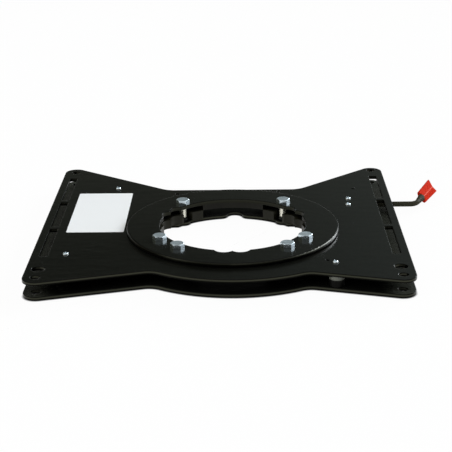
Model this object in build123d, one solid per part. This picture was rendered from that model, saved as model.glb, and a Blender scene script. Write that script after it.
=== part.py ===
from build123d import *
import os
from math import acos, atan2, cos, degrees, hypot, radians, sin, sqrt, tan

# Swivel seat base: two bow-tie plates that turn on a bolted hub, with a sprung latch lever.
# Millimetres, +Z up. The origin is on the swivel axis, at the underside of the lower plate.
# +X is to the right and +Y to the rear, as seen from the front of the seat.

# Plate outline, measured from the swivel axis to edges and to corners before rounding
plate_left = 206.5
plate_right = 181.0
plate_rear = 221.5
plate_front = 151.0
plate_t = 4.0
rear_edge_y = 126.7
rear_edge_half = 76.5
rear_waist_r = 25.0
rear_corner_r = 12.8
front_slope = 15.0
front_bulge_r = 143.0
front_bulge_x = 2.5
front_waist_r = 20.0
front_corner_r = 14.0
plate_edge_r = 0.6

# Fixing holes along both sides of both plates, and the upper plate's larger holes and rail slots
fixing_inset = 13.0
corner_hole_ys = (195.0, -133.5)
corner_hole_d = 10.0
seat_hole_y = -112.5
seat_hole_d = 14.0
rail_slot_count = 3
rail_slot_w = 9.1
rail_slot_rear_y = 173.0
rail_slot_front_y = -79.0
rail_slot_gap = 6.0
rail_slot_corner_r = 1.2

# Small pilot holes in the upper plate: X, Y and diameter of each
pilot_holes = ((-64.8, 112.0, 5.0), (46.0, 120.0, 3.6), (53.0, 120.0, 3.6), (96.0, -94.8, 3.8))

# Hub stack, from the lower plate upwards
spacer_t = 10.0
lower_slide_t = 1.5
upper_slide_t = 0.5
disc_t = 4.5

# Hub widths from the cable hole outwards, and the places of its cut-outs
hub_hole_r = 79.0
plate_hole_step = 3.0
bolt_inset = 9.0
bolt_relief = 6.0
bearing_wall = 6.0
bearing_clear = 0.3
spacer_ledge = 12.0
disc_overhang = 2.0
disc_edge_r = 1.5
slide_margin = 2.5
window_half_angle = 25.5
scallop_r = 11.0
scallop_depth = 5.0
scallop_half_step = 6.6
scallop_angles = (-90.0, 30.0, 150.0)
cable_notch_r = 9.0
cable_notch_depth = 11.0
cable_notch_turn = -1.3
cable_notch_mouth_r = 8.0
side_notch_r = 22.0
side_notch_depth = 12.0
side_notch_angles = (26.5, 153.5)

# Hub bolts and their press nuts
bolt_angles = (50.0, 130.0, -150.0, -130.0, -50.0, -30.0)
bolt_d = 8.0
bolt_head_af = 13.0
bolt_head_h = 4.3
bolt_head_chamfer = 30.0
bolt_end_inset = 0.6
bolt_hole_clear = 0.5
thread_clear = 0.05
nut_spigot_d = 10.0
nut_collar_d = 11.0
nut_collar_h = 4.0
nut_fit = 0.05
nut_notch_clear = 0.5
nut_lug_wall = 3.5

# Glide blocks between the plates, each held by one screw through the upper plate
glide_screws = ((-135.7, 133.7), (-171.3, -73.1), (103.6, -100.3))
glide_w = 15.5
glide_length = 40.0
glide_screw_inset = 11.0
glide_shim_t = 4.0
glide_run_clear = 0.3

# Button-head screws, for the glide blocks and the latch
screw_d = 3.0
screw_head_d = 5.7
screw_head_h = 1.7
screw_head_round = 1.2
screw_hole_clear = 0.25
glide_thread_depth = 5.0

# Latch plate, carried on two bushes under the upper plate
pivot_x = 131.9
pivot_y = 91.2
guide_x = 130.4
guide_y = 71.4
latch_t = 4.0
latch_play = 0.3
latch_boss_r = 12.5
latch_end_r = 8.0
latch_throw = 3.5
tooth_h = 8.0
tooth_root_w = 14.0
tooth_tip_w = 9.0
tooth_gap = 0.8
tooth_sink = 3.0
notch_clear = 0.5
bush_d = 10.0
bush_shoulder_d = 15.0
bush_shoulder_h = 3.0
washer_d = 15.0
washer_t = 1.2
lock_nut_af = 5.5
lock_nut_h = 1.8

# Lever rod and grip
rod_d = 6.0
rod_start_x = 150.0
rod_y = 97.4
rod_bend_x = 210.8
rod_bend_r = 11.0
rod_bend_angle = 64.5
rod_swell_start = 8.0
rod_shoulder_d = 8.4
rod_ear_w = 13.0
rod_ear_length = 4.0
handle_rise = 2.5
handle_length = 63.5
grip_length = 42.0
grip_start_w = 14.6
grip_end_w = 16.8
grip_ridge_t = 8.4
grip_edge_t = 2.4
grip_tilt = 38.0
grip_bore_depth = 28.0
grip_bore_clear = 0.05
grip_notch_depth = 9.0
grip_edge_r = 0.5

# Return spring and its anchor pin
anchor_x = 141.2
anchor_y = 128.2
anchor_d = 5.0
anchor_h = 9.0
anchor_spigot_d = 3.5
anchor_spigot_fit = 0.05
anchor_rivet_d = 4.4
anchor_rivet_h = 0.5
tail_hole_x = 2.0
tail_hole_y = 17.0
tail_hole_r = 2.2
tail_wall = 2.2
spring_wire_d = 1.2
spring_coil_r = 4.0
spring_turns = 8
spring_pitch = 1.15
spring_hook_wire_d = 1.1
spring_hook_clear = 0.3
spring_hook_bend = 1.5

# Heights worked out from the stack
spacer_z = plate_t
bearing_z = spacer_z + spacer_t
upper_z = bearing_z + lower_slide_t
upper_top_z = upper_z + plate_t
disc_z = upper_top_z + upper_slide_t
disc_top_z = disc_z + disc_t
glide_z = plate_t + glide_run_clear
latch_top_z = upper_z - bush_shoulder_h - latch_play
latch_z = latch_top_z - latch_t
latch_mid_z = latch_z + latch_t / 2
bush_end_z = latch_z - latch_play
washer_z = bush_end_z - washer_t
lock_nut_z = washer_z - lock_nut_h

# Places worked out from the plan
left_fixing_x = fixing_inset - plate_left
right_fixing_x = plate_right - fixing_inset
fixing_xs = (left_fixing_x, right_fixing_x)
rail_slot_step = (rail_slot_rear_y - rail_slot_front_y + rail_slot_gap) / rail_slot_count
rail_slot_length = rail_slot_step - rail_slot_gap
plate_hole_r = hub_hole_r + plate_hole_step
bolt_circle_r = hub_hole_r + bolt_inset
bearing_inner_r = bolt_circle_r + bolt_relief
bearing_r = bearing_inner_r + bearing_wall
spacer_r = bearing_r + spacer_ledge
disc_r = spacer_r + disc_overhang
bolt_hole_r = bolt_d / 2 + bolt_hole_clear
screw_hole_r = screw_d / 2 + screw_hole_clear
upper_hole_r = bearing_r + bearing_clear

# The latch arm is tangent to the spacer rim, so that the tooth moves straight into its notch
pivot_r = hypot(pivot_x, pivot_y)
tooth_angle = degrees(atan2(pivot_y, pivot_x) - acos(spacer_r / pivot_r))
arm_length = sqrt(pivot_r**2 - spacer_r**2)
latch_frame = Pos(pivot_x, pivot_y) * Rot(0, 0, tooth_angle - 90)
arm_end_offset = tooth_gap + tooth_h + latch_end_r


def around(angle, radius):
    """A place on a circle about the swivel axis, with its X axis pointing outwards."""
    return Rot(0, 0, angle) * Pos(radius, 0)


def wedge(angle, half_angle):
    """A sector about the swivel axis that reaches past the whole hub."""
    reach = 2 * disc_r
    sides = [radians(angle + turn) for turn in (-half_angle, half_angle)]
    return Polygon((0, 0), *[(reach * cos(a), reach * sin(a)) for a in sides], align=None)


def nearest_corner(sketch, x, y):
    """The corner of a sketch that lies nearest to a point."""
    return min(sketch.vertices(), key=lambda v: hypot(v.X - x, v.Y - y))


def rounded(sketch, corners, radius):
    """A sketch with the corners nearest to the given points rounded."""
    return fillet([nearest_corner(sketch, x, y) for x, y in corners], radius)


def plate_outline():
    """The bow-tie outline that both plates share."""
    rise = tan(radians(front_slope))
    ridge_x = (plate_right - plate_left) / 2
    ridge_y = (plate_right + plate_left) / 2 * rise - plate_front
    rear_left = (-plate_left, plate_rear)
    rear_right = (plate_right, plate_rear)
    rear_waists = [(rear_edge_half, rear_edge_y), (-rear_edge_half, rear_edge_y)]
    front_left = (-plate_left, -plate_front)
    front_right = (plate_right, -plate_front)
    ridge = (ridge_x, ridge_y)
    wings = Polygon(rear_right, *rear_waists, rear_left, front_left, ridge, front_right, align=None)
    front_half = Pos(0, -front_bulge_r / 2) * Rectangle(2 * front_bulge_r, front_bulge_r)
    outline = wings + Pos(front_bulge_x, 0) * (Circle(front_bulge_r) & front_half)
    front_waists = []
    for v in outline.vertices():
        if v.Y < 0 and abs(hypot(v.X - front_bulge_x, v.Y) - front_bulge_r) < 0.01:
            front_waists.append((v.X, v.Y))
    outline = rounded(outline, front_waists, front_waist_r)
    outline = rounded(outline, rear_waists, rear_waist_r)
    outline = rounded(outline, [rear_left, rear_right], rear_corner_r)
    return rounded(outline, [front_left, front_right], front_corner_r)


def blank_plate():
    """A plate of the shared outline with softly rounded edges."""
    blank = extrude(plate_outline(), plate_t)
    levels = blank.faces().sort_by(Axis.Z)
    rims = levels[0].outer_wire().edges() + levels[-1].outer_wire().edges()
    return fillet(rims, plate_edge_r)


def corner_holes():
    """The round fixing holes in both plates' four corners."""
    holes = Sketch()
    for x in fixing_xs:
        for y in corner_hole_ys:
            holes += Pos(x, y) * Circle(corner_hole_d / 2)
    return holes


def seat_holes():
    """The upper plate's larger front holes, and a row of rail slots along each side."""
    holes = Sketch()
    for x in fixing_xs:
        holes += Pos(x, seat_hole_y) * Circle(seat_hole_d / 2)
        for step in range(rail_slot_count):
            middle_y = rail_slot_rear_y - rail_slot_length / 2 - step * rail_slot_step
            holes += Pos(x, middle_y) * RectangleRounded(rail_slot_w, rail_slot_length, rail_slot_corner_r)
    return holes


def hub_hole():
    """The central hole of the disc and spacers, with its three pairs of scallops."""
    hole = Circle(hub_hole_r)
    centre_r = hub_hole_r + scallop_depth - scallop_r
    for angle in scallop_angles:
        for step in (-scallop_half_step, scallop_half_step):
            hole += around(angle + step, centre_r) * Circle(scallop_r)
    return hole


def lower_plate():
    """The fixed plate: a notched central hole with a lug at each bolt, and the corner holes."""
    hole = Circle(plate_hole_r)
    hole += around(90, plate_hole_r + cable_notch_depth - cable_notch_r) * Circle(cable_notch_r)
    hole = rounded(hole, [(cable_notch_r, plate_hole_r), (-cable_notch_r, plate_hole_r)], cable_notch_mouth_r)
    hole = Rot(0, 0, cable_notch_turn) * hole
    for angle in side_notch_angles:
        hole += around(angle, plate_hole_r + side_notch_depth - side_notch_r) * Circle(side_notch_r)
    nut_holes = Sketch()
    for angle in bolt_angles:
        hole -= around(angle, bolt_circle_r) * Circle(nut_spigot_d / 2 + nut_lug_wall)
        nut_holes += around(angle, bolt_circle_r) * Circle(nut_spigot_d / 2 + nut_fit)
    cuts = hole + nut_holes + corner_holes()
    return blank_plate() - extrude(cuts, plate_t)


def upper_plate():
    """The turning plate: a bearing hole, rail slots, corner holes and screw holes."""
    cuts = Circle(upper_hole_r) + corner_holes() + seat_holes()
    for x, y, diameter in pilot_holes:
        cuts += Pos(x, y) * Circle(diameter / 2)
    for x, y in (*glide_screws, (pivot_x, pivot_y), (guide_x, guide_y)):
        cuts += Pos(x, y) * Circle(screw_hole_r)
    cuts += Pos(anchor_x, anchor_y) * Circle(anchor_spigot_d / 2 + anchor_spigot_fit)
    return Pos(0, 0, upper_z) * (blank_plate() - extrude(cuts, plate_t))


def tooth():
    """The latch tooth in the latch frame, where X runs along the arm and Y away from the hub."""
    root_y = tooth_gap + tooth_h + tooth_sink
    half_root = tooth_root_w / 2
    half_tip = tooth_tip_w / 2
    corners = ((half_root, root_y), (-half_root, root_y), (-half_tip, tooth_gap), (half_tip, tooth_gap))
    return Pos(arm_length, 0) * Polygon(*corners, align=None)


def latch_notch():
    """The notch that the tooth fills when the latch has swung in, in the plan."""
    swung_in = Pos(pivot_x, pivot_y) * Rot(0, 0, tooth_angle - 90 - latch_throw)
    return offset(swung_in * tooth(), notch_clear, kind=Kind.INTERSECTION)


def bolt_notches():
    """The open notches that let each bolt and its press nut into the spacers."""
    notches = Sketch()
    notch_w = nut_collar_d + 2 * nut_notch_clear
    for angle in bolt_angles:
        notches += around(angle, bolt_circle_r) * Circle(notch_w / 2)
        notches += around(angle, bolt_circle_r - scallop_r / 2) * Rectangle(scallop_r, notch_w)
    return notches


def spacer(side):
    """One C-shaped spacer, on the left (-1) or the right (1), with a latch notch in its rim."""
    half = Pos(side * spacer_r / 2, 0) * Rectangle(spacer_r, 2 * spacer_r)
    profile = (Circle(spacer_r) - hub_hole()) & half
    for angle in (90, -90):
        profile -= wedge(angle, window_half_angle)
    profile -= bolt_notches()
    turn = 0 if side > 0 else 180
    profile -= Rot(0, 0, turn) * latch_notch()
    return Pos(0, 0, spacer_z) * extrude(profile, spacer_t)


def bearing_ring():
    """The ring that the upper plate turns on, with full-depth tabs over the two cable windows."""
    profile = Circle(bearing_r) - Circle(bearing_inner_r)
    tab_ring = Circle(bearing_r) - hub_hole()
    for angle in (90, -90):
        profile += tab_ring & wedge(angle, window_half_angle)
    return Pos(0, 0, bearing_z) * extrude(profile, disc_z - bearing_z)


def slide_ring(z, outer_r, thickness):
    """A flat plastic slide ring around the bearing ring."""
    return Pos(0, 0, z) * extrude(Circle(outer_r) - Circle(upper_hole_r), thickness)


def retaining_disc():
    """The flat ring that holds the upper plate down, with a softened outer edge."""
    profile = Circle(disc_r) - hub_hole()
    for angle in bolt_angles:
        profile -= around(angle, bolt_circle_r) * Circle(bolt_hole_r)
    disc = extrude(profile, disc_t)
    rims = [e for e in disc.edges().filter_by(GeomType.CIRCLE) if abs(e.radius - disc_r) < 0.01]
    return Pos(0, 0, disc_z) * fillet(rims, disc_edge_r)


def hub_bolt():
    """A hexagon-head bolt standing on Z = 0, with its shank below."""
    head = extrude(RegularPolygon(bolt_head_af / 2, 6, major_radius=False), bolt_head_h)
    cone_foot_r = bolt_head_af / 2 + bolt_head_h / tan(radians(bolt_head_chamfer))
    head &= Cone(cone_foot_r, bolt_head_af / 2, bolt_head_h, align=(Align.CENTER, Align.CENTER, Align.MIN))
    length = disc_top_z - bolt_end_inset
    return head + Cylinder(bolt_d / 2, length, align=(Align.CENTER, Align.CENTER, Align.MAX))


def press_nut():
    """A round press nut with its spigot in the lower plate and its collar above."""
    spigot = extrude(Circle(nut_spigot_d / 2), plate_t)
    collar = Pos(0, 0, plate_t) * extrude(Circle(nut_collar_d / 2), nut_collar_h)
    return spigot + collar - Cylinder(bolt_d / 2 + thread_clear, 4 * plate_t + 2 * nut_collar_h)


def button_screw(length):
    """A button-head screw standing on Z = 0, with its shank below."""
    head = extrude(Circle(screw_head_d / 2), screw_head_h)
    head = fillet(head.edges().group_by(Axis.Z)[-1], screw_head_round)
    return head + Cylinder(screw_d / 2, length, align=(Align.CENTER, Align.CENTER, Align.MAX))


def glide_outline(x, y):
    """A glide block's round-ended outline, reaching forwards from its screw."""
    centre_y = y + glide_screw_inset - glide_length / 2
    return Pos(x, centre_y) * Rot(0, 0, 90) * SlotOverall(glide_length, glide_w)


def glide_block(x, y):
    """A glide block that runs just clear of the lower plate, with a screw hole in its top."""
    height = upper_z - glide_shim_t - glide_z
    block = extrude(glide_outline(x, y), height)
    hole = extrude(Circle(screw_d / 2 + thread_clear), -glide_thread_depth)
    return Pos(0, 0, glide_z) * (block - Pos(x, y, height) * hole)


def glide_shim(x, y):
    """The pale packing plate between a glide block and the upper plate."""
    profile = glide_outline(x, y) - Pos(x, y) * Circle(screw_hole_r)
    return Pos(0, 0, upper_z - glide_shim_t) * extrude(profile, glide_shim_t)


def latch_plate():
    """The bell-crank latch: a long arm with a tooth, an ear for the rod and a tail for the spring."""
    pivot = Pos(pivot_x, pivot_y)
    boss = pivot * Circle(latch_boss_r)
    arm_end = latch_frame * Pos(arm_length, arm_end_offset) * Circle(latch_end_r)
    ear = Pos(rod_start_x - rod_ear_length / 2, rod_y) * Rectangle(rod_ear_length, rod_ear_w)
    tail_place = pivot * Pos(tail_hole_x, tail_hole_y)
    tail = tail_place * Circle(tail_hole_r + tail_wall)
    profile = Sketch() + latch_frame * tooth()
    for limb in (arm_end, ear, tail):
        profile += make_hull(boss.edges() + limb.edges())
    fit_r = bush_d / 2 + latch_play
    profile -= pivot * Circle(fit_r)
    for angle in (0, -latch_throw / 2, -latch_throw):
        profile -= pivot * Rot(0, 0, -angle) * Pos(guide_x - pivot_x, guide_y - pivot_y) * Circle(fit_r)
    profile -= tail_place * Circle(tail_hole_r)
    return Pos(0, 0, latch_z) * extrude(profile, latch_t)


def latch_bush(x, y):
    """A stepped bush that hangs the latch plate below the upper plate."""
    shoulder = extrude(Circle(bush_shoulder_d / 2), -bush_shoulder_h)
    spigot = extrude(Circle(bush_d / 2), bush_end_z - upper_z)
    bore = extrude(Circle(screw_hole_r), bush_end_z - upper_z)
    return Pos(x, y, upper_z) * (shoulder + spigot - bore)


def latch_washer(x, y):
    """The washer that keeps the latch plate on its bush."""
    return Pos(x, y, washer_z) * extrude(Circle(washer_d / 2) - Circle(screw_hole_r), washer_t)


def lock_nut(x, y):
    """The thin nut under a latch washer."""
    flats = RegularPolygon(lock_nut_af / 2, 6, major_radius=False)
    return Pos(x, y, lock_nut_z) * extrude(flats - Circle(screw_d / 2 + thread_clear), lock_nut_h)


def handle_place(distance):
    """A place on the bent part of the lever, with Z along it and Y upwards."""
    corner = Pos(rod_bend_x, rod_y, latch_mid_z)
    return corner * Rot(0, 0, rod_bend_angle + 90) * Rot(90 - handle_rise, 0, 0) * Pos(0, 0, distance)


def lever_rod():
    """The round rod from the latch plate's ear, bent to the rear and swelling to a shoulder for the grip."""
    start = (rod_start_x, rod_y, latch_mid_z)
    end = handle_place(handle_length - grip_length + grip_bore_depth).position
    path = FilletPolyline(start, (rod_bend_x, rod_y, latch_mid_z), end, radius=rod_bend_r)
    section = Plane(start, z_dir=(1, 0, 0)) * Circle(rod_d / 2)
    swell_length = handle_length - grip_length - rod_swell_start
    swell = Cone(rod_d / 2, rod_shoulder_d / 2, swell_length, align=(Align.CENTER, Align.CENTER, Align.MIN))
    return sweep(section, path) + handle_place(rod_swell_start) * swell


def grip_section(distance, width):
    """A six-sided section of the grip: a flat paddle with a ridge along the middle of each face."""
    half_w = width / 2
    half_ridge = grip_ridge_t / 2
    half_edge = grip_edge_t / 2
    right_side = [(half_edge, -half_w), (half_ridge, 0), (half_edge, half_w)]
    left_side = [(-x, -y) for x, y in right_side]
    return Pos(0, 0, distance) * Polygon(*right_side, *left_side, align=None)


def lever_grip():
    """The tilted plastic paddle grip, with a swallow-tail end and a blind bore for the rod."""
    grip = loft([grip_section(0, grip_start_w), grip_section(grip_length, grip_end_w)])
    tip = (0, grip_length - grip_notch_depth)
    mouth = [(side * grip_end_w, grip_length + grip_notch_depth) for side in (1, -1)]
    notch = Plane.YZ * Polygon(tip, *mouth, align=None)
    grip -= extrude(notch, grip_ridge_t, both=True)
    grip = fillet(grip.edges(), grip_edge_r)
    grip -= extrude(Circle(rod_d / 2 + grip_bore_clear), grip_bore_depth)
    return handle_place(handle_length - grip_length) * Rot(0, 0, -grip_tilt) * grip


def anchor_pin():
    """The spring's anchor pin, riveted through the upper plate."""
    pin = extrude(Circle(anchor_d / 2), -anchor_h)
    spigot = extrude(Circle(anchor_spigot_d / 2), plate_t)
    rivet = Pos(0, 0, plate_t) * extrude(Circle(anchor_rivet_d / 2), anchor_rivet_h)
    return Pos(anchor_x, anchor_y, upper_z) * (pin + spigot + rivet)


def spring_hook(start, reach):
    """A square hook of spring wire in the XZ plane, from the coil's end out to its reach."""
    corners = [(start, 0, spring_coil_r), (reach, 0, spring_coil_r)]
    corners += [(x, y, -z) for x, y, z in reversed(corners)]
    path = FilletPolyline(*corners, radius=spring_hook_bend)
    section = Plane(corners[0], z_dir=(reach - start, 0, 0)) * Circle(spring_hook_wire_d / 2)
    return sweep(section, path)


def return_spring():
    """A close-wound tension spring from the latch tail to the anchor pin, hooked at both ends."""
    tail_x = pivot_x + tail_hole_x
    tail_y = pivot_y + tail_hole_y
    span = hypot(anchor_x - tail_x, anchor_y - tail_y)
    heading = degrees(atan2(anchor_y - tail_y, anchor_x - tail_x))
    hook_offset = spring_hook_clear + spring_hook_wire_d / 2
    tail_reach = tail_hole_r - hook_offset
    anchor_reach = span + anchor_d / 2 + hook_offset
    coil_length = spring_pitch * (spring_turns - 1)
    coil_start = (tail_reach + anchor_reach - coil_length) / 2
    wires = Sketch()
    for turn in range(spring_turns):
        wires += Pos(coil_start + turn * spring_pitch, spring_coil_r) * RegularPolygon(spring_wire_d / 2, 4)
    coil = revolve(Plane.XZ * wires, Axis.X)
    tail_hook = spring_hook(coil_start, tail_reach)
    anchor_hook = Rot(90, 0, 0) * spring_hook(coil_start + coil_length, anchor_reach)
    return Pos(tail_x, tail_y, latch_mid_z) * Rot(0, 0, heading) * (coil + tail_hook + anchor_hook)


def group(solids):
    """Several like pieces that share one node."""
    return Compound(children=list(solids))


latch_places = ((pivot_x, pivot_y), (guide_x, guide_y))
bolt_places = [Pos(around(angle, bolt_circle_r).position) for angle in bolt_angles]
latch_screw_length = upper_top_z - lock_nut_z
glide_screw_length = plate_t + glide_shim_t + glide_thread_depth

nodes = {
    "lower_plate": lower_plate(),
    "press_nuts": group(place * press_nut() for place in bolt_places),
    "left_spacer": spacer(-1),
    "right_spacer": spacer(1),
    "bearing_ring": bearing_ring(),
    "lower_slide_ring": slide_ring(bearing_z, spacer_r - slide_margin, lower_slide_t),
    "upper_slide_ring": slide_ring(upper_top_z, disc_r - slide_margin, upper_slide_t),
    "retaining_disc": retaining_disc(),
    "hub_bolts": group(place * Pos(0, 0, disc_top_z) * hub_bolt() for place in bolt_places),
    "upper_plate": upper_plate(),
    "glide_blocks": group(glide_block(x, y) for x, y in glide_screws),
    "glide_shims": group(glide_shim(x, y) for x, y in glide_screws),
    "glide_screws": group(Pos(x, y, upper_top_z) * button_screw(glide_screw_length) for x, y in glide_screws),
    "latch_bushes": group(latch_bush(x, y) for x, y in latch_places),
    "latch_washers": group(latch_washer(x, y) for x, y in latch_places),
    "latch_nuts": group(lock_nut(x, y) for x, y in latch_places),
    "latch_screws": group(Pos(x, y, upper_top_z) * button_screw(latch_screw_length) for x, y in latch_places),
    "spring_anchor_pin": anchor_pin(),
    "return_spring": return_spring(),
    "latch_plate": latch_plate(),
    "lever_rod": lever_rod(),
    "lever_grip": lever_grip(),
}

os.makedirs("parts", exist_ok=True)
for name, shape in nodes.items():
    export_step(shape, f"parts/{name}.step")
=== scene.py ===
import math

import bmesh
import bpy
from mathutils import Matrix, Vector


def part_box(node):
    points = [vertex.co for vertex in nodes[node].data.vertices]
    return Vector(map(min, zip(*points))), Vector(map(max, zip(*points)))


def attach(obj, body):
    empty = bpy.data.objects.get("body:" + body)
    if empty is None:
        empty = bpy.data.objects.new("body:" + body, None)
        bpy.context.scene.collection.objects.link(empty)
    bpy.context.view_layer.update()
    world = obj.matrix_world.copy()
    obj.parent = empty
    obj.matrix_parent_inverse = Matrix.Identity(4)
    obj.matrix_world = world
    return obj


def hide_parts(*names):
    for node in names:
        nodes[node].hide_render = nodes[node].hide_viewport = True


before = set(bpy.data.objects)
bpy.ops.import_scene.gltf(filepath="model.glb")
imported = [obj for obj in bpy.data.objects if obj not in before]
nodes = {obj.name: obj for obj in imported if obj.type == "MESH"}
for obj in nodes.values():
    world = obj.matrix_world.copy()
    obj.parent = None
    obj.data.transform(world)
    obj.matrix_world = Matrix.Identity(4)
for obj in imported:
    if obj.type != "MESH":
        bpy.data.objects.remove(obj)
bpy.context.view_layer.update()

# Heights that the looks share with the CAD, in metres
UPPER_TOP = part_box("upper_plate")[1][2]
DISC_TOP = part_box("retaining_disc")[1][2]
BOLT_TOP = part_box("hub_bolts")[1][2]

# Places on the upper plate: the two rows of rail slots, and the small screws
RAIL_SLOT_XS = (-0.1935, 0.1680)
GLIDE_SCREW_PLACES = ((-0.1357, 0.1337), (-0.1713, -0.0731), (0.1036, -0.1003))
LATCH_SCREW_PLACES = ((0.1319, 0.0912), (0.1304, 0.0714))

# M3 button-head screws; the socket's radius is to its flats
HEAD_R = 0.00285
HEAD_HEIGHT = 0.0017
HEAD_ROUND_R = 0.0012
HEAD_ROUND_STEPS = 5
SHANK_R = 0.0015
SOCKET_R = 0.00105
SOCKET_DEPTH = 0.0009
SCREW_STEPS = 24
SHARP_EDGE = math.radians(35.0)

# Plain label: its front left and rear right corners
LABEL_CORNERS = ((-0.179, -0.0106), (-0.117, 0.1162))
LABEL_THICKNESS = 0.00012
LABEL_CORNER_R = 0.0015
LABEL_CORNER_STEPS = 4

# Camera: the photograph's frame is 452 by 452 pixels
FRAME_PX = 452
FOCAL_PX = 1232.0
SENSOR_MM = 36.0
CAMERA_PLACE = Vector((0.01064, -1.24512, 0.46546 + DISC_TOP))
CAMERA_RIGHT = Vector((0.99987767, 0.00966679, -0.01229626))
CAMERA_UP = Vector((0.00810378, 0.3522356, 0.93587628))

# Painted reflection on a sheet's walls, given as metal colours: its tone at the rounded edges, painted shade on the
# plates, and the painted highlight band half way up
PLATE_PAINTED_WALLS = ((0.0030, 0.0031, 0.0024), (0.039, 0.040, 0.029))
DISC_PAINTED_WALLS = ((0.017, 0.0175, 0.013), (0.023, 0.0235, 0.0175))

# Shares of a sheet's thickness, counted from its middle: the walls' end, the start of the upper rim darkened with
# painted shade, and the painted highlight band's middle, full half width and faded half width
WALL_END = 0.49
RIM_START = 0.40
BAND_MIDDLE = 0.12
BAND_FULL = 0.08
BAND_FADED = 0.36

# Painted light on the lower plate under the rail slots: how far from the middle of a row of slots it lies full, and
# where it ends
SLOT_LIGHT_FULL = 0.003
SLOT_LIGHT_END = 0.022

# Painted shade in narrow gaps: its colour, and how open a gap is where it covers everything and where it ends
GAP_SHADE = (0.005, 0.005, 0.0048)
GAP_SHADE_FULL = 0.10
GAP_SHADE_END = 0.55

# Brown coat of the hub's inner pieces: where it is deep, and where it is rubbed
SPACER_BROWN = ((0.007, 0.0068, 0.0035), (0.022, 0.021, 0.012))
# The ring's copy is darker than the spacers': painted shade for the ring, which lies between the plates
RING_BROWN_SHADED = ((0.003, 0.0029, 0.0014), (0.010, 0.0095, 0.005))

# Zinc: shanks end just above the upper plate, and the hub bolts' flat tops start just under their highest point
SHANK_END = UPPER_TOP + 0.0004
BOLT_FACE = BOLT_TOP - 0.0002

# The grip's axis starts at the rod's bend, and its width lies across the axis
GRIP_ROOT = (0.2108, 0.0974, 0.0102)
GRIP_WIDTH = (-0.5705, 0.2340, 0.7873)

# Floor: half its width, how far it lies under the part, how far the contact shadow reaches, and its depth
FLOOR_REACH = 40.0
FLOOR_DROP = 0.0003
SHADOW_REACH = 0.0020
SHADOW_DEPTH = 1.8
SEEN_WHITE = 0.96

# Overhead soft box
BOX_PLACE = (-0.2, -0.3, 2.0)
BOX_WIDTH = 4.0
BOX_POWER = 42.5

# Room: its light at the horizon, on the low wall and above it
HORIZON = (0.5, 0.5, 0.49)
LOW_WALL = (0.112, 0.120, 0.101)
HIGH_WALL = (0.032, 0.035, 0.029)

# Soft glows: azimuth and elevation, the angles of full light and of none, in degrees, and the light
GLOWS = (
    (36.0, 30.0, 8.0, 38.0, (0.26, 0.30, 0.29)),
    (66.0, 18.0, 10.0, 30.0, (3.4, 3.6, 3.7)),
    (40.0, 19.0, 6.0, 16.0, (20.0, 21.0, 22.0)),
    (-115.0, 24.0, 6.0, 20.0, (3.4, 3.4, 3.2)),
    (-60.0, 25.0, 8.0, 30.0, (0.30, 0.30, 0.22)),
    (180.0, 26.0, 10.0, 60.0, (0.30, 0.31, 0.29)),
)


class Signal:
    """A socket of a finish that can be used in plain arithmetic."""

    def __init__(self, finish, socket):
        self.finish = finish
        self.socket = socket

    def out(self, name):
        """Another output of the same node."""
        return Signal(self.finish, self.socket.node.outputs[name])

    def maths(self, operation, *values):
        return self.finish.add("ShaderNodeMath", {"operation": operation}, dict(enumerate(values)))

    def __add__(self, other):
        return self.maths("ADD", self, other)

    def __radd__(self, other):
        return self.maths("ADD", other, self)

    def __sub__(self, other):
        return self.maths("SUBTRACT", self, other)

    def __rsub__(self, other):
        return self.maths("SUBTRACT", other, self)

    def __mul__(self, other):
        return self.maths("MULTIPLY", self, other)

    def __rmul__(self, other):
        return self.maths("MULTIPLY", other, self)

    def __pow__(self, other):
        return self.maths("POWER", self, other)

    def __rpow__(self, other):
        return self.maths("POWER", other, self)

    def __gt__(self, other):
        return self.maths("GREATER_THAN", self, other)

    def __lt__(self, other):
        return self.maths("LESS_THAN", self, other)

    def most(self, other):
        """The larger of two values."""
        return self.maths("MAXIMUM", self, other)

    def size(self):
        """The value without its sign."""
        return self.maths("ABSOLUTE", self)


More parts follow.
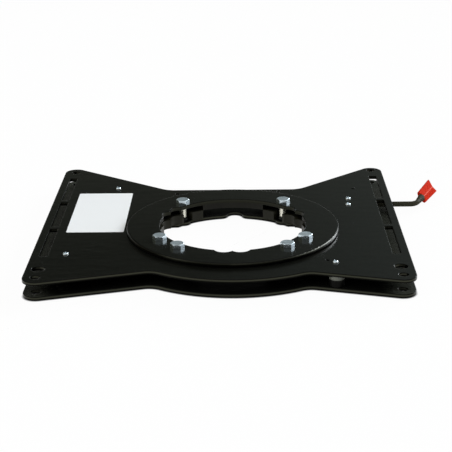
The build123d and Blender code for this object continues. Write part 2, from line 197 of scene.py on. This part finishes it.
class Finish:
    """A node tree that grows one node at a time."""

    def __init__(self, tree):
        self.tree = tree
        tree.nodes.clear()

    def add(self, kind, settings=None, sockets=None, output=0):
        """Any node: its settings first, then the values or links of its sockets."""
        node = self.tree.nodes.new(kind)
        for name, value in (settings or {}).items():
            setattr(node, name, value)
        for name, value in (sockets or {}).items():
            self.plug(node.inputs[name], value)
        return Signal(self, node.outputs[output] if node.outputs else None)

    def plug(self, socket, value):
        if isinstance(value, Signal):
            self.tree.links.new(value.socket, socket)
        elif socket.type == "RGBA" and len(value) == 3:
            socket.default_value = (*value, 1.0)
        else:
            socket.default_value = value

    def vector(self, operation, first, second, output="Vector"):
        """Vector maths on two vectors."""
        return self.add("ShaderNodeVectorMath", {"operation": operation}, {0: first, 1: second}, output)

    def dot(self, first, second):
        """How much of the first vector lies along the second."""
        return self.vector("DOT_PRODUCT", first, second, output="Value")

    def place(self):
        """Where a point is on the part, in the CAD's frame."""
        return self.add("ShaderNodeTexCoord", output="Object")

    def stretched(self, scale):
        """The place on the part, stretched along each axis."""
        return self.vector("MULTIPLY", self.place(), scale)

    def along(self, start, direction):
        """How far a point lies from a start, along a direction."""
        return self.dot(self.vector("SUBTRACT", self.place(), start), direction)

    def noise(self, scale, detail=2.0, roughness=0.5, vector=None):
        """Soft noise over the part."""
        sockets = {"Vector": vector or self.place(), "Scale": scale, "Detail": detail, "Roughness": roughness}
        return self.add("ShaderNodeTexNoise", {}, sockets)

    def between(self, value, low, high):
        """A value brought from low..high to a smooth 0..1."""
        sockets = {"Value": value, "From Min": low, "From Max": high}
        return self.add("ShaderNodeMapRange", {"interpolation_type": "SMOOTHSTEP"}, sockets)

    def blend(self, factor, first, second):
        """A mix of two colours."""
        return self.add("ShaderNodeMix", {"data_type": "RGBA"}, {0: factor, 6: first, 7: second}, output=2)

    def bump(self, height, strength, distance=0.0002, edge_r=0.0):
        """Surface relief, with the part's sharp edges softened to a radius."""
        sockets = {"Height": height, "Strength": strength, "Distance": distance}
        if edge_r:
            sockets["Normal"] = self.add("ShaderNodeBevel", {"samples": 6}, {"Radius": edge_r})
        return self.add("ShaderNodeBump", {}, sockets)

    def edges(self, reach):
        """A mask that is 1 on sharp edges and 0 on flat or gently curved faces."""
        softened = self.add("ShaderNodeBevel", {"samples": 8}, {"Radius": reach})
        facing = self.add("ShaderNodeNewGeometry", output="Normal")
        return 1.0 - self.between(self.dot(softened, facing), low=0.86, high=0.99)

    def surface(self, sockets, gap=0.0, unshaded=1.0):
        """The shader that everything else feeds, mixed with a flat painted shade in gaps within a reach and where its
        unshaded share is lowered.
        """
        shader = self.add("ShaderNodeBsdfPrincipled", {}, sockets)
        if gap:
            open_air = self.add("ShaderNodeAmbientOcclusion", {"samples": 6}, {"Distance": gap}, output="AO")
            lit_share = self.between(open_air, GAP_SHADE_FULL, GAP_SHADE_END) * unshaded
            # A flat dark diffuse shader: painted shade, mixed in where the gap is closed
            gap_shade = self.add("ShaderNodeBsdfDiffuse", {}, {"Color": GAP_SHADE})
            shader = self.add("ShaderNodeMixShader", {}, {0: lit_share, 1: gap_shade, 2: shader})
        self.add("ShaderNodeOutputMaterial", {}, {"Surface": shader})


def new_finish(name):
    material = bpy.data.materials.new(name)
    material.use_nodes = True
    return material, Finish(material.node_tree)


def black_powder_coat(name, sheet=None, painted_wall_tone=None, painted_band_highlight=None, lit_under_slots=False):
    """Satin black coat with a fine orange peel, a painted reflection on a sheet's walls with a painted highlight band
    half way up and painted shade on the top rim, and painted light under the rail slots if asked.
    """
    material, coat = new_finish(name)
    cloud = coat.noise(scale=9.0, detail=4.0, roughness=0.6)
    peel = coat.noise(scale=1400.0)
    rolling = coat.noise(scale=40.0, detail=3.0, roughness=0.6, vector=coat.stretched((1.0, 2.5, 1.0)))
    mottle = coat.between(coat.noise(scale=300.0, detail=3.0, roughness=0.7), low=0.3, high=0.7)
    speck = coat.between(coat.noise(scale=700.0, detail=1.0), low=0.74, high=0.80)
    colour = coat.blend(cloud, (0.0026, 0.0028, 0.0022), (0.0046, 0.0050, 0.0038))
    colour = coat.blend(mottle * 0.3, colour, (0.0090, 0.0096, 0.0080))
    colour = coat.blend(speck * 0.5, colour, (0.05, 0.053, 0.05))
    if lit_under_slots:
        slot_light = 0.0
        for slot_x in RAIL_SLOT_XS:
            off_slot = coat.along((slot_x, 0, 0), (1, 0, 0)).size()
            slot_light = 1.0 - coat.between(off_slot, SLOT_LIGHT_FULL, SLOT_LIGHT_END) + slot_light
        # A pale strip under each row of rail slots: painted light on the lower plate
        colour = coat.blend(slot_light * (0.7 + mottle * 0.3), colour, (0.036, 0.038, 0.030))
    on_wall = on_rim = 0.0
    if sheet:
        low, high = (corner[2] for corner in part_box(sheet))
        thickness = high - low
        off_middle = coat.along((0, 0, (low + high) / 2), (0, 0, 1))
        on_wall = off_middle.size() < thickness * WALL_END
        on_rim = on_wall * (off_middle > thickness * RIM_START)
        off_band = (off_middle - thickness * BAND_MIDDLE).size()
        band = 1.0 - coat.between(off_band, thickness * BAND_FULL, thickness * BAND_FADED)
        # The walls turn to metal whose colours are painted reflection: their tone, then the painted highlight band
        # half way up
        colour = coat.blend(on_wall, colour, painted_wall_tone)
        colour = coat.blend(band, colour, painted_band_highlight)
    # Painted shade in gaps within 2 cm, and on the top rims of the walls
    coat.surface({
        "Base Color": colour,
        "Metallic": on_wall,
        "Roughness": 0.12 + cloud * 0.06 + peel * 0.03 + on_wall * 0.12,
        "Specular IOR Level": 0.14,
        "Normal": coat.bump(peel + rolling * 40.0, strength=0.03, edge_r=0.0013),
    }, gap=0.02, unshaded=1.0 - on_rim * 0.8)
    return material


def hub_brown_coat(name, deep, rubbed):
    """Thin brown-black coat on the hub's inner pieces, with the run marks of dipping."""
    material, coat = new_finish(name)
    runs = coat.noise(scale=60.0, detail=3.0, roughness=0.6, vector=coat.stretched((1.0, 1.0, 0.15)))
    grain = coat.noise(scale=900.0)
    # Painted shade in gaps within 12 mm
    coat.surface({
        "Base Color": coat.blend(runs, deep, rubbed),
        "Roughness": 0.30 + grain * 0.16,
        "Specular IOR Level": 0.17,
        "Normal": coat.bump(grain, strength=0.1, edge_r=0.0004),
    }, gap=0.012)
    return material


def bright_zinc():
    """Bluish zinc plating, clouded, duller on the hub bolts' tops, with a rolled thread on every shank."""
    material, zinc = new_finish("bright_zinc")
    cloud = zinc.noise(scale=260.0, detail=3.0, roughness=0.6)
    grain = zinc.noise(scale=3200.0)
    height = zinc.add("ShaderNodeSeparateXYZ", {}, {0: zinc.place()}, output="Z")
    thread = zinc.add(
        "ShaderNodeTexWave", {"bands_direction": "Z", "wave_profile": "TRI"},
        {"Vector": zinc.place(), "Scale": 250.0, "Distortion": 0.0}, output="Fac",
    )
    on_shank = height < SHANK_END
    on_top = height > BOLT_FACE
    plating = zinc.blend(cloud, (0.58, 0.68, 0.75), (0.80, 0.89, 0.94))
    # On the shanks the plating turns pale cream and half matt: a painted highlight, so the shanks read bright against
    # the heads
    zinc.surface({
        "Base Color": zinc.blend(on_shank, plating, (0.96, 0.94, 0.82)),
        "Metallic": 1.0 - on_shank * 0.5,
        "Roughness": 0.18 + cloud * 0.12 + grain * 0.05 + on_top * 0.14 - on_shank * 0.15,
        "Normal": zinc.bump(thread * on_shank, strength=0.04, distance=0.0003, edge_r=0.0004),
    })
    return material


def graphite_acetal():
    """Dark slide-ring plastic with a graphite sheen."""
    material, plastic = new_finish("graphite_acetal")
    mottle = plastic.noise(scale=180.0, detail=3.0)
    plastic.surface({
        "Base Color": plastic.blend(mottle, (0.012, 0.012, 0.011), (0.026, 0.026, 0.024)),
        "Roughness": 0.42 + mottle * 0.1,
        "Specular IOR Level": 0.3,
    })
    return material


def bare_rod_coat():
    """Thin worn black on the bent lever rod, brownish where it is rubbed."""
    material, coat = new_finish("bare_rod_coat")
    rubbed = coat.noise(scale=90.0, detail=4.0, roughness=0.65)
    drawn = coat.noise(scale=700.0, vector=coat.stretched((0.15, 1.0, 1.0)))
    coat.surface({
        "Base Color": coat.blend(rubbed, (0.026, 0.026, 0.018), (0.056, 0.054, 0.037)),
        "Roughness": 0.45 + rubbed * 0.14,
        "Specular IOR Level": 0.02,
        "Normal": coat.bump(drawn, strength=0.1),
    })
    return material


def black_acetal():
    """Black glide-block plastic, with fine milling marks round its sides."""
    material, plastic = new_finish("black_acetal")
    marks = plastic.noise(scale=400.0, vector=plastic.stretched((0.2, 0.2, 4.0)))
    plastic.surface({
        "Base Color": plastic.blend(marks, (0.002, 0.002, 0.0017), (0.005, 0.005, 0.0044)),
        "Roughness": 0.38 + marks * 0.15,
        "Specular IOR Level": 0.06,
        "Normal": plastic.bump(marks, strength=0.15),
    })
    return material


def pale_nylon():
    """Grey shim plastic between the glide blocks and the plate."""
    material, plastic = new_finish("pale_nylon")
    mottle = plastic.noise(scale=220.0, detail=3.0)
    plastic.surface({
        "Base Color": plastic.blend(mottle, (0.10, 0.105, 0.09), (0.16, 0.165, 0.14)),
        "Roughness": 0.5 + mottle * 0.1,
    })
    return material


def spring_steel():
    """Oiled spring wire."""
    material, steel = new_finish("spring_steel")
    drawn = steel.noise(scale=900.0)
    steel.surface({
        "Base Color": steel.blend(drawn, (0.30, 0.29, 0.28), (0.46, 0.45, 0.43)),
        "Metallic": 1.0,
        "Roughness": 0.28 + drawn * 0.12,
    })
    return material


def red_grip_plastic():
    """Moulded red plastic with a fine spark-eroded grain, pale on its edges from wear and painted highlight, and with
    a painted highlight along its middle ridge.
    """
    material, plastic = new_finish("red_grip_plastic")
    grain = plastic.noise(scale=2400.0)
    cloud = plastic.noise(scale=70.0, detail=3.0)
    off_ridge = plastic.along(GRIP_ROOT, GRIP_WIDTH).size()
    ridge = 1.0 - plastic.between(off_ridge, low=0.0002, high=0.0010)
    # Pale mix on the edges and along the middle ridge: wear on the edges, and a painted highlight on both
    rubbed = plastic.edges(reach=0.0007).most(ridge) * (0.35 + cloud * 0.4)
    colour = plastic.blend(cloud, (0.50, 0.024, 0.009), (0.58, 0.030, 0.013))
    plastic.surface({
        "Base Color": plastic.blend(rubbed, colour, (0.80, 0.19, 0.15)),
        "Roughness": 0.60 + grain * 0.1,
        "Specular IOR Level": 0.004,
        "Normal": plastic.bump(grain, strength=0.03),
    })
    return material


def white_label_film():
    """Plain white label film, slightly glossy and a little uneven."""
    material, film = new_finish("white_label_film")
    ripple = film.noise(scale=60.0)
    fibre = film.noise(scale=900.0)
    film.surface({
        "Base Color": film.blend(fibre, (0.765, 0.775, 0.785), (0.815, 0.825, 0.835)),
        "Roughness": 0.45 + ripple * 0.1,
        "Specular IOR Level": 0.15,
        "Normal": film.bump(ripple, strength=0.08, distance=0.0004),
    })
    return material


def dress(finish, *names):
    """Gives CAD nodes their finish."""
    for name in names:
        for holder in nodes[name].material_slots:
            holder.material = finish


def flat_label(name, finish, body):
    """A thin label with softened corners, lying on the upper plate."""
    (left, front), (right, rear) = LABEL_CORNERS
    inset = LABEL_CORNER_R
    mesh = bpy.data.meshes.new(name)
    shape = bmesh.new()
    ring = []
    for corner_x, corner_y, start in (
        (right - inset, rear - inset, 0.0), (left + inset, rear - inset, 90.0),
        (left + inset, front + inset, 180.0), (right - inset, front + inset, 270.0),
    ):
        for step in range(LABEL_CORNER_STEPS + 1):
            angle = math.radians(start + step * 90.0 / LABEL_CORNER_STEPS)
            x = corner_x + LABEL_CORNER_R * math.cos(angle)
            y = corner_y + LABEL_CORNER_R * math.sin(angle)
            ring.append(shape.verts.new((x, y, UPPER_TOP)))
    under = shape.faces.new(ring)
    lifted = bmesh.ops.extrude_face_region(shape, geom=[under])
    tops = [v for v in lifted["geom"] if isinstance(v, bmesh.types.BMVert)]
    bmesh.ops.translate(shape, vec=(0, 0, LABEL_THICKNESS), verts=tops)
    bmesh.ops.recalc_face_normals(shape, faces=shape.faces)
    shape.to_mesh(mesh)
    shape.free()
    label = bpy.data.objects.new(name, mesh)
    bpy.context.scene.collection.objects.link(label)
    mesh.materials.append(finish)
    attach(label, body)
    return label


def screw_profile(low):
    """A button-head screw's radii and heights, from the end of its shank to the rim of its top."""
    top = UPPER_TOP + HEAD_HEIGHT
    round_x, round_z = HEAD_R - HEAD_ROUND_R, top - HEAD_ROUND_R
    profile = [(SHANK_R, low), (SHANK_R, UPPER_TOP), (HEAD_R, UPPER_TOP), (HEAD_R, round_z)]
    for step in range(1, HEAD_ROUND_STEPS + 1):
        turn = math.radians(step * 90.0 / HEAD_ROUND_STEPS)
        profile.append((round_x + HEAD_ROUND_R * math.cos(turn), round_z + HEAD_ROUND_R * math.sin(turn)))
    return profile


def socket_screws(name, node, places, finish, body):
    """Button-head screws with a hexagon socket in each head, in place of a node's plain ones."""
    top = UPPER_TOP + HEAD_HEIGHT
    profile = screw_profile(low=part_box(node)[0][2])
    # A radius of None stands for the hexagon socket
    profile += [(None, top), (None, top - SOCKET_DEPTH)]
    mesh = bpy.data.meshes.new(name)
    shape = bmesh.new()
    for x, y in places:
        rings = []
        for radius, z in profile:
            ring = []
            for step in range(SCREW_STEPS):
                degrees = step * 360.0 / SCREW_STEPS
                turn = math.radians(degrees)
                reach = radius or SOCKET_R / math.cos(math.radians(degrees % 60.0 - 30.0))
                ring.append(shape.verts.new((x + reach * math.cos(turn), y + reach * math.sin(turn), z)))
            rings.append(ring)
        for under, over in zip(rings, rings[1:]):
            for step in range(SCREW_STEPS):
                after = (step + 1) % SCREW_STEPS
                shape.faces.new((under[step], under[after], over[after], over[step]))
        shape.faces.new(rings[-1])
        shape.faces.new(list(reversed(rings[0])))
    for face in shape.faces:
        face.smooth = True
    shape.to_mesh(mesh)
    shape.free()
    mesh.set_sharp_from_angle(angle=SHARP_EDGE)
    screws = bpy.data.objects.new(name, mesh)
    bpy.context.scene.collection.objects.link(screws)
    mesh.materials.append(finish)
    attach(screws, body)
    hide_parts(node)


def white_floor_paint():
    """White that shows evenly, with a thin contact shadow, and that lights the part as matt paint does."""
    material, paint = new_finish("white_floor_paint")
    ray = paint.add("ShaderNodeLightPath", output="Is Camera Ray")
    seen = ray.most(ray.out("Is Glossy Ray")).most(ray.out("Is Transmission Ray"))
    matt = paint.add("ShaderNodeBsdfDiffuse", {}, {"Color": (0.8, 0.8, 0.8)})
    open_sky = paint.add("ShaderNodeAmbientOcclusion", {"samples": 8}, {"Distance": SHADOW_REACH}, output="AO")
    pale = paint.blend(open_sky ** SHADOW_DEPTH, (0.0, 0.0, 0.0), (1.0, 1.0, 1.0))
    white = paint.add("ShaderNodeEmission", {}, {"Color": pale, "Strength": 1.0})
    mixed = paint.add("ShaderNodeMixShader", {}, {0: seen * SEEN_WHITE, 1: matt, 2: white})
    paint.add("ShaderNodeOutputMaterial", {}, {"Surface": mixed})
    return material


def studio_floor():
    """A wide white floor just under the part."""
    mesh = bpy.data.meshes.new("studio_floor")
    corners = [(x * FLOOR_REACH, y * FLOOR_REACH, 0) for x, y in ((-1, -1), (1, -1), (1, 1), (-1, 1))]
    mesh.from_pydata(corners, [], [(0, 1, 2, 3)])
    floor = bpy.data.objects.new("studio_floor", mesh)
    floor.location.z = -FLOOR_DROP
    bpy.context.scene.collection.objects.link(floor)
    mesh.materials.append(white_floor_paint())


def overhead_box():
    """A large square lamp above the part, turned to its middle."""
    lamp = bpy.data.lights.new("overhead_box", "AREA")
    lamp.shape = "RECTANGLE"
    lamp.size = lamp.size_y = BOX_WIDTH
    lamp.energy = BOX_POWER
    holder = bpy.data.objects.new("overhead_box", lamp)
    holder.location = BOX_PLACE
    holder.rotation_euler = (-Vector(BOX_PLACE)).to_track_quat("-Z", "Y").to_euler()
    bpy.context.scene.collection.objects.link(holder)


def toward(azimuth, elevation):
    """A direction from the part, turned from the rear to the right and raised from the floor."""
    turn, rise = math.radians(azimuth), math.radians(elevation)
    return (math.sin(turn) * math.cos(rise), math.cos(turn) * math.cos(rise), math.sin(rise))


def studio_room():
    """A dark room with a white horizon and a few soft glows."""
    world = bpy.data.worlds.new("studio_room")
    bpy.context.scene.world = world
    world.use_nodes = True
    room = Finish(world.node_tree)
    look = room.add("ShaderNodeTexCoord", output="Generated")
    rise = room.add("ShaderNodeSeparateXYZ", {}, {0: look}, output="Z")
    wall = room.blend(room.between(rise, low=0.28, high=0.42), LOW_WALL, HIGH_WALL)
    colour = room.blend(room.between(rise, low=0.0, high=0.09), HORIZON, wall)
    for azimuth, elevation, inner, outer, light in GLOWS:
        facing = room.dot(look, toward(azimuth, elevation))
        glow = room.between(facing, math.cos(math.radians(outer)), math.cos(math.radians(inner)))
        colour = room.blend(glow, colour, light)
    backdrop = room.add("ShaderNodeBackground", {}, {"Color": colour, "Strength": 1.0})
    room.add("ShaderNodeOutputWorld", {}, {"Surface": backdrop})


def photo_camera():
    """The camera at the photograph's place and turn."""
    lens = bpy.data.cameras.new("photo_camera")
    lens.sensor_fit = "HORIZONTAL"
    lens.sensor_width = SENSOR_MM
    lens.lens = FOCAL_PX / FRAME_PX * SENSOR_MM
    camera = bpy.data.objects.new("photo_camera", lens)
    back = CAMERA_RIGHT.cross(CAMERA_UP)
    turn = Matrix((CAMERA_RIGHT, CAMERA_UP, back)).transposed().to_4x4()
    camera.matrix_world = Matrix.Translation(CAMERA_PLACE) @ turn
    bpy.context.scene.collection.objects.link(camera)
    bpy.context.scene.camera = camera


zinc = bright_zinc()
dress(black_powder_coat("upper_powder_coat", "upper_plate", *PLATE_PAINTED_WALLS), "upper_plate")
dress(black_powder_coat("slot_lit_powder_coat", "lower_plate", *PLATE_PAINTED_WALLS, lit_under_slots=True), "lower_plate")
dress(black_powder_coat("disc_powder_coat", "retaining_disc", *DISC_PAINTED_WALLS), "retaining_disc")
dress(black_powder_coat("black_powder_coat"), "latch_plate", "press_nuts", "spring_anchor_pin")
dress(bare_rod_coat(), "lever_rod")
dress(hub_brown_coat("spacer_brown_coat", *SPACER_BROWN), "left_spacer", "right_spacer")
dress(hub_brown_coat("ring_shaded_brown_coat", *RING_BROWN_SHADED), "bearing_ring")
dress(zinc, "hub_bolts", "latch_bushes", "latch_washers", "latch_nuts")
dress(graphite_acetal(), "lower_slide_ring", "upper_slide_ring")
dress(black_acetal(), "glide_blocks")
dress(pale_nylon(), "glide_shims")
dress(spring_steel(), "return_spring")
dress(red_grip_plastic(), "lever_grip")

label = flat_label("plain_label", white_label_film(), "upper")
socket_screws("glide_socket_screws", "glide_screws", GLIDE_SCREW_PLACES, zinc, "upper")
socket_screws("latch_socket_screws", "latch_screws", LATCH_SCREW_PLACES, zinc, "upper")

studio_floor()
overhead_box()
studio_room()
photo_camera()
bpy.context.scene.view_settings.view_transform = "Standard"
